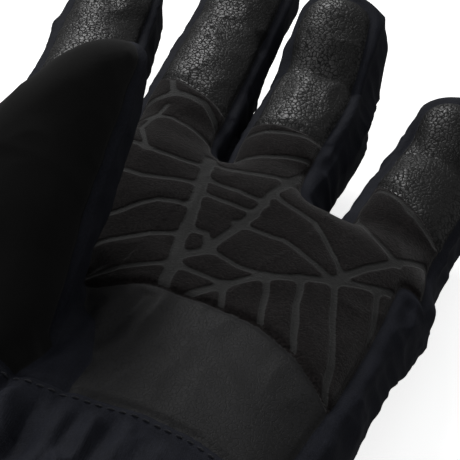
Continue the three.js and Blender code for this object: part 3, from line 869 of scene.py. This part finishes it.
def put(name, skin, look, bodies, slab=None):
    """A piece of skin as an object that rides one body, or with a slab is left baked in place on no body."""
    if len(skin.tri) == 0:
        return None
    values = {}
    if look == "suede":
        skin, ink = printed(skin)
        values["print"] = ink
    made = make_mesh(name, skin.data[:, 0:3], skin.tri, LOOKS[look], skin.data[:, 3:6], values)
    attach(made, bodies, slab)
    return made


def panels(skin, order):
    """Splits a skin into named panels, the first field first; what is left is navy."""
    parts = {}
    for look in order:
        if len(skin.tri) == 0:
            break
        parts[look], skin = skin.split(column(skin, PANEL_FIELDS[look]))
    parts["navy"] = skin
    return parts


def build_thumb(skin):
    stall = STALLS["thumb"]
    halves = skin.split(column(skin, "thumb_along") - THUMB_HINGE)
    made = {}
    for part, piece, pair, slab in (
        ("base", halves[0], ("hand", "thumb_base"), (stall.point(18), stall.point(30))),
        ("tip", halves[1], ("thumb_base", "thumb_tip"), (stall.point(44), stall.point(58))),
    ):
        for look, area in panels(piece, ["wipe", "under"]).items():
            name = f"thumb_{part}_{look}_cloth"
            made[name] = put(name, area, look, pair, slab)
    return made


def build_finger(name, skin):
    """Makes one finger's pieces, and gives back the skin that is left."""
    stall = STALLS[name]
    others = np.min([column(skin, "d_" + n) for n in FINGERS if n != name], 0)
    beyond_hand = 1.5 - column(skin, name)
    finger, rest = skin.split(np.maximum(beyond_hand, (column(skin, "d_" + name) - others) * 0.7))
    halves = finger.split(column(finger, name) - (stall.first + 6) / 2)
    knuckle = (stall.point(stall.first - 8), stall.point(stall.first + 8))
    made = {}
    for part, piece, pair, slab in (
        ("base", halves[0], ("hand", name + "_base"), (stall.point(2), stall.point(12))),
        ("tip", halves[1], (name + "_base", name + "_tip"), knuckle),
    ):
        for look, area in panels(piece, ["leather", "suede"]).items():
            full = f"{name}_{part}_{look}_cloth"
            made[full] = put(full, area, look, pair, slab)
    return made, rest


def build_skin():
    """Every piece of the outside by name, and the whole surface to lay stitches on."""
    skin = whole_skin()
    surface_tree = BVHTree.FromPolygons(skin.data[:, 0:3].tolist(), skin.tri.tolist())
    # Trim the mouth of the cuff to its binding.
    skin, _ = skin.split(-190.5 - skin.data[:, 1])
    thumb, rest = skin.split(column(skin, "thumb"))
    made = build_thumb(thumb)
    for name in FINGERS:
        finger, rest = build_finger(name, rest)
        made.update(finger)
    cuff, hand = rest.split(column(rest, "cuff"))
    made["cuff_cloth"] = put("cuff_cloth", cuff, "navy", ("hand", "cuff"), WRIST_SLAB)
    for look, area in panels(hand, ["wipe", "leather", "suede", "heel"]).items():
        name = f"hand_{look}_cloth"
        made[name] = put(name, area, look, "hand")
    return {name: piece for name, piece in made.items() if piece}, surface_tree


def stitch_row(name, path, tree, bodies, slab, length=1.5, pitch=2.3, thick=0.27):
    """A row of thread lying on the skin along a path in the palm's plane."""
    path = np.array(path, float)
    runs = np.hypot(*np.diff(path, axis=0).T)
    marks = np.concatenate([[0], np.cumsum(runs)])
    points, faces = [], []
    for at in np.arange(0.5, marks[-1] - length, pitch):
        ends = []
        for t in np.linspace(at, at + length, 5):
            x, y = np.interp(t, marks, path[:, 0]), np.interp(t, marks, path[:, 1])
            hit = tree.ray_cast(Vector((x, y, 95)), Vector((0, 0, -1)))
            if hit[0] is None:
                break
            arch = math.sin(math.pi * (t - at) / length)
            up = np.array(hit[1])
            ends.append((np.array(hit[0]) + up * (0.24 * arch - 0.08), up))
        if len(ends) < 5:
            continue
        way = ends[-1][0] - ends[0][0]
        way /= np.linalg.norm(way)
        base = len(points)
        for i, (centre, up) in enumerate(ends):
            side = np.cross(way, up)
            radius = thick * (0.55, 0.95, 1.0, 0.95, 0.55)[i]
            for k in range(8):
                turn = 2 * math.pi * k / 8
                points.append(centre + radius * (side * math.cos(turn) + up * math.sin(turn)))
        for i in range(4):
            for k in range(8):
                a, b = base + i * 8 + k, base + i * 8 + (k + 1) % 8
                faces.append((a, b, b + 8, a + 8))
        faces += [tuple(base + k for k in reversed(range(8))), tuple(base + 32 + k for k in range(8))]
    row = make_mesh(name, np.array(points), faces, LOOKS["thread"])
    attach(row, bodies, slab)


skin_pieces, skin_tree = build_skin()
cuff_line = [(x, float(stations(x, CUFF_SEAM)) - 2.6) for x in range(-36, 36, 2)]
stitch_row("cuff_seam_stitches", cuff_line, skin_tree, ("hand", "cuff"), WRIST_SLAB)


# ---------------------------------------------------------------- cuff and closure

def grid_faces(rows, columns, closed):
    faces = []
    for r in range(rows - 1):
        for c in range(columns if closed else columns - 1):
            d = (c + 1) % columns
            faces.append((r * columns + c, r * columns + d, (r + 1) * columns + d, (r + 1) * columns + c))
    return faces


def cuff_section(y, angle, inset):
    """A point of the cuff's outline at an angle, set in from the shell."""
    half = stations(y, THUMB_EDGE) - inset
    middle = stations(y, CUFF_TOP) / 2
    c, s = math.cos(angle), math.sin(angle)
    x = -half * math.copysign(abs(c) ** (2 / HAND_SQUARE), c)
    z = middle + (middle - inset) * math.copysign(abs(s) ** (2 / HAND_SQUARE), s)
    return [x, y, max(z, 0.9 + inset)]


def tube_piece(name, profile, look, count=180):
    """A ring of cloth around the cuff from (y, inset) stations."""
    points = np.array([cuff_section(y, 2 * math.pi * k / count, inset)
                       for y, inset in profile for k in range(count)])
    wave = 0.35 * noise_at(points, (0.12, 0.03, 0.12), 14.0)
    points[:, 2] += wave * smoothstep(points[:, 2], 2, 6)
    return make_mesh(name, points, grid_faces(len(profile), count, True), LOOKS[look])


def build_cuff():
    lining = tube_piece("cuff_lining_cloth", [
        (-192, 3.2), (-185, 3.6), (-170, 3.8), (-150, 3.8), (-130, 3.8),
        (-118, 4.2), (-108, 5.0), (-98, 5.5), (-85, 5.5), (-60, 6.0),
    ], "fleece")
    attach(lining, ("hand", "cuff"), WRIST_SLAB)
    lining.data.flip_normals()
    hem_profile = []
    for step in range(17):
        turn = math.pi * (step / 16) * 2
        hem_profile.append((-192.6 + 3.4 * math.cos(turn), 1.9 - 2.5 * math.sin(turn)))
    hem = tube_piece("hem_binding_cloth", hem_profile[:-1] + [hem_profile[0]], "tape")
    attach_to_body(hem, "cuff")
    return lining, hem


lining_piece, hem_piece = build_cuff()


def cuff_height(x, y):
    """Height of the cuff's shell over a place on its palm side."""
    centre, half, over, middle = hand_section(x, y)
    reach = np.clip(1 - np.abs((x - centre) / half) ** HAND_SQUARE, 0, 1)
    return middle + over * reach ** (1 / HAND_SQUARE)


def strap(name, x_span, y_span, low, high, look, corner=1.2, puff=0.0, cells=(60, 34)):
    """A strip lying on the cuff, with rounded edges; low and high are heights over the shell."""
    nx, ny = cells
    x0, x1 = x_span
    y0, y1 = y_span
    u = np.linspace(0, 1, nx)
    v = np.linspace(0, 1, ny)
    uu, vv = np.meshgrid(u, v, indexing="ij")
    x, y = x0 + (x1 - x0) * uu, y0 + (y1 - y0) * vv
    inset = np.minimum.reduce([x - x0, x1 - x, y - y0, y1 - y])
    round_off = np.sqrt(np.clip(1 - (1 - np.clip(inset / corner, 0, 1)) ** 2, 0, 1))
    lower, upper = low(x), high(x)
    centre = (lower + upper) / 2
    flat = cuff_height(x, y)
    stitch = 0.18 * bump(inset - 2.2, 0.5)
    top = centre + (upper - centre) * round_off + puff * (1 - np.exp(-inset / 4)) - stitch
    bottom = centre - (centre - lower) * round_off
    up = np.stack([x, y, flat + top], -1).reshape(-1, 3)
    down = np.stack([x, y, flat + bottom], -1).reshape(-1, 3)
    faces = []
    n = nx * ny
    for i in range(nx - 1):
        for j in range(ny - 1):
            a, b, c, d = i * ny + j, (i + 1) * ny + j, (i + 1) * ny + j + 1, i * ny + j + 1
            faces += [(a, b, c, d), (n + a, n + d, n + c, n + b)]
    rim = ([i * ny for i in range(nx)] + [(nx - 1) * ny + j for j in range(1, ny)]
           + [i * ny + ny - 1 for i in range(nx - 2, -1, -1)] + [j for j in range(ny - 2, 0, -1)])
    for a, b in zip(rim, rim[1:] + rim[:1]):
        faces.append((a, n + a, n + b, b))
    return make_mesh(name, np.concatenate([up, down]), faces, LOOKS[look])


def level(height):
    return lambda x: x * 0 + height


def build_closure():
    patch = strap("cuff_loop_tape", (-15, 31), (-161, -139), level(0.2), level(1.8), "hook", 0.6)
    hook = strap("tab_hook_tape", (2, 22), (-161, -139), level(2.0), level(3.2), "hook", 0.5)

    def low(x):
        return 0.6 + 2.5 * smoothstep(x, -30, -18)

    def high(x):
        return low(x) + 1.9

    def ribs(x):
        return 5.2 + 0.35 * np.sin(x * 2.6)

    tab = strap("cuff_tab_cloth", (-30, 24.4), (-163, -137), low, high, "navy", 1.3, 0.35)
    pull = strap("tab_pull_moulding", (23.6, 36), (-164, -136), level(2.5), ribs, "rubber", 1.4,
                 cells=(64, 40))
    for piece, body, slot in ((patch, "cuff", "hook_and_loop"), (hook, "closing_tab", "hook_and_loop"),
                              (tab, "closing_tab", "navy_softshell"), (pull, "closing_tab", "rubber_trim")):
        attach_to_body(piece, body)
    return patch, hook, tab, pull


def build_hang_loop():
    """A flat tape sewn inside the palm side of the mouth, that stands out as a loop."""
    half, count = 7.0, 12
    z = float(cuff_height(np.array(0.0), np.array(-196.0))) - 8.2
    path = [(-half, -184 - 2.0 * i) for i in range(11)]
    path += [(-half * math.cos(math.pi * k / 14), -204 - 8.4 * math.sin(math.pi * k / 14))
             for k in range(1, 14)]
    path += [(half, -204 + 2.0 * i) for i in range(11)]
    points = []
    for i, (x, y) in enumerate(path):
        xa, ya = path[max(i - 1, 0)]
        xb, yb = path[min(i + 1, len(path) - 1)]
        way = np.array([xb - xa, yb - ya]) / math.hypot(xb - xa, yb - ya)
        sag = 0.5 * math.sin(i * 0.7)
        for k in range(count):
            turn = 2 * math.pi * k / count
            wide = 2.5 * math.copysign(abs(math.sin(turn)) ** 0.5, math.sin(turn))
            thin = 0.65 * math.copysign(abs(math.cos(turn)) ** 0.5, math.cos(turn))
            points.append([x - way[1] * thin, y + way[0] * thin, z + wide + sag])
    faces = grid_faces(len(path), count, True)
    last = (len(path) - 1) * count
    faces += [tuple(range(count)), tuple(last + k for k in reversed(range(count)))]
    loop = make_mesh("hang_loop_tape", np.array(points), faces, LOOKS["tape"])
    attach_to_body(loop, "cuff")
    return loop


patch_piece, hook_piece, tab_piece, pull_piece = build_closure()
loop_piece = build_hang_loop()


# ---------------------------------------------------------------- what stands for what

def stand_in(name, *nodes):
    if name in skin_pieces:
        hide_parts(*nodes)


for name in FINGERS:
    stand_in(f"{name}_base_leather_cloth", f"{name}_base_palm_leather")
    stand_in(f"{name}_base_navy_cloth", f"{name}_base_back_shell", f"{name}_base_lining")
    stand_in(f"{name}_tip_leather_cloth", f"{name}_tip_palm_leather")
    stand_in(f"{name}_tip_navy_cloth", f"{name}_tip_back_shell", f"{name}_tip_lining")
stand_in("thumb_base_wipe_cloth", "thumb_base_wipe_panel")
stand_in("thumb_base_under_cloth", "thumb_base_grip")
stand_in("thumb_base_navy_cloth", "thumb_base_outer_side", "thumb_base_inner_side", "thumb_base_lining")
stand_in("thumb_tip_wipe_cloth", "thumb_tip_wipe_panel")
stand_in("thumb_tip_under_cloth", "thumb_tip_grip")
stand_in("thumb_tip_navy_cloth", "thumb_tip_side", "thumb_tip_lining")
stand_in("hand_suede_cloth", "palm_grip_panel")
stand_in("hand_heel_cloth", "palm_heel_patch")
stand_in("hand_wipe_cloth", "thumb_root_wipe_panel")
stand_in("hand_navy_cloth", "hand_back_shell", "hand_insulation", "hand_lining")
stand_in("cuff_cloth", "cuff_shell", "wrist_elastic")
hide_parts("cuff_lining")
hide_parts("hem_binding")
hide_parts("cuff_loop_patch")
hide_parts("tab_hook_patch")
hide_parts("cuff_tab")
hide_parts("tab_pull")
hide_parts("hang_loop")


# ---------------------------------------------------------------- floor and light

def build_stage():
    floor_look = bpy.data.materials.new("floor")
    floor_look.use_nodes = True
    shader = floor_look.node_tree.nodes["Principled BSDF"]
    shader.inputs["Base Color"].default_value = (0.93, 0.93, 0.93, 1)
    shader.inputs["Roughness"].default_value = 0.9
    shader.inputs["Specular IOR Level"].default_value = 0.1
    shader.inputs["Emission Color"].default_value = (1, 1, 1, 1)
    shader.inputs["Emission Strength"].default_value = 0.8
    bpy.ops.mesh.primitive_plane_add(size=40, location=(0, 0, -0.0004))
    floor = bpy.context.object
    floor.name = "floor"
    floor.data.materials.append(floor_look)
    floor.visible_diffuse = False
    floor.visible_glossy = False
    for name, place, aim, size, power in (
        ("key", (-0.55, 0.95, 0.85), (0, 0.02, 0.03), (0.45, 0.30), 7.5),
        ("left", (-1.1, -0.25, 0.75), (0, -0.02, 0.03), (0.7, 0.5), 3.6),
        ("front", (-0.45, -0.85, 1.25), (0, 0.0, 0.02), (0.8, 0.8), 2.4),
        ("right", (1.0, 0.45, 0.6), (0, 0.0, 0.03), (0.5, 0.8), 0.3),
    ):
        data = bpy.data.lights.new(name, "AREA")
        data.shape = "RECTANGLE"
        data.size, data.size_y = size
        data.energy = power
        light = bpy.data.objects.new(name, data)
        light.location = place
        light.rotation_euler = (Vector(aim) - Vector(place)).to_track_quat("-Z", "Y").to_euler()
        bpy.context.collection.objects.link(light)
    world = bpy.data.worlds.new("studio")
    world.use_nodes = True
    world.node_tree.nodes["Background"].inputs["Color"].default_value = (1, 1, 1, 1)
    world.node_tree.nodes["Background"].inputs["Strength"].default_value = 0.15
    bpy.context.scene.world = world
    bpy.context.scene.view_settings.view_transform = "Standard"


build_stage()
